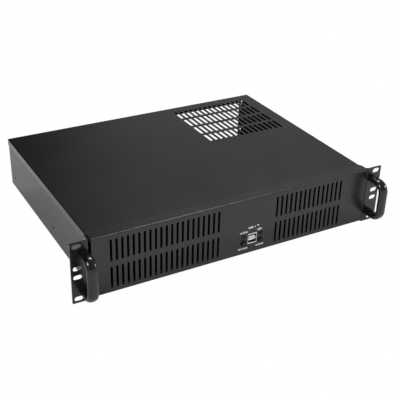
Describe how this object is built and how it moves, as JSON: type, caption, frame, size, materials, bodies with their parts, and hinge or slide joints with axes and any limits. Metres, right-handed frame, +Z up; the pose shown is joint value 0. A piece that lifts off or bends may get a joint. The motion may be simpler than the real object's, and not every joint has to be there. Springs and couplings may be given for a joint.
{
  "type": "rackmount server case",
  "caption": "Low empty rackmount server case of black folded steel with slotted vents, rack ears, bow handles, a small control cluster and an open power supply bay.",
  "frame": {"origin": "on the ground under the feet, at the middle of the whole case's width and depth", "axes": "+X to the right seen from the front, +Y from the front towards the back, +Z up"},
  "size_m": [0.4826, 0.3642, 0.0887],
  "materials": {
    "coated_steel": "satin black powder coat on folded steel",
    "gloss_coat": "glossy black coat",
    "zinc_sheet": "zinc-plated sheet",
    "zinc_hardware": "zinc-plated",
    "black_hardware": "black oxide",
    "black_plastic": "fine matt",
    "button_cap": "smooth",
    "lens": "smoky translucent",
    "nickel_shell": "nickel-plated",
    "white_plastic": "fine matt",
    "circuit_board": "solder resist",
    "brass": "plain",
    "rubber": "matt"
  },
  "bodies": {
    "case": {"base_tray": "coated_steel", "rear_panel": "coated_steel", "board_wall": "coated_steel", "slot_cover_1": "zinc_sheet", "slot_cover_2": "zinc_sheet", "slot_cover_3": "zinc_sheet", "slot_cover_4": "zinc_sheet", "slot_screws": "zinc_hardware", "front_panel": "coated_steel", "top_cover": "coated_steel", "cover_screws": "black_hardware", "cover_nuts": "zinc_hardware", "ear_left": "coated_steel", "ear_right": "coated_steel", "ear_screws": "black_hardware", "ear_nuts": "zinc_hardware", "handle_left": "gloss_coat", "handle_right": "gloss_coat", "handle_screws": "zinc_hardware", "power_switch": "black_plastic", "power_switch_nut": "zinc_hardware", "reset_switch": "black_plastic", "reset_switch_nut": "zinc_hardware", "switch_terminals": "brass", "power_led": "lens", "disk_led": "lens", "power_led_holder": "black_plastic", "disk_led_holder": "black_plastic", "usb_shell": "nickel_shell", "usb_core": "white_plastic", "usb_board": "circuit_board", "usb_posts": "brass", "usb_screws": "zinc_hardware", "board_posts": "brass", "drive_bracket": "coated_steel", "drive_bracket_screws": "zinc_hardware", "fan_bracket": "coated_steel", "fan_bracket_screws": "zinc_hardware", "foot_front_left": "rubber", "foot_front_right": "rubber", "foot_rear_left": "rubber", "foot_rear_right": "rubber", "foot_screws": "zinc_hardware"},
    "power_cap": {"power_button": "button_cap"},
    "reset_cap": {"reset_button": "button_cap"}
  },
  "joints": [
    {"name": "power_press", "type": "slide", "parent": "case", "child": "power_cap", "axis": [0, 1, 0], "range_m": [0, 0.0012], "stiffness_N_per_m": 400, "springref_m": -0.001},
    {"name": "reset_press", "type": "slide", "parent": "case", "child": "reset_cap", "axis": [0, 1, 0], "range_m": [0, 0.0012], "stiffness_N_per_m": 400, "springref_m": -0.001}
  ]
}
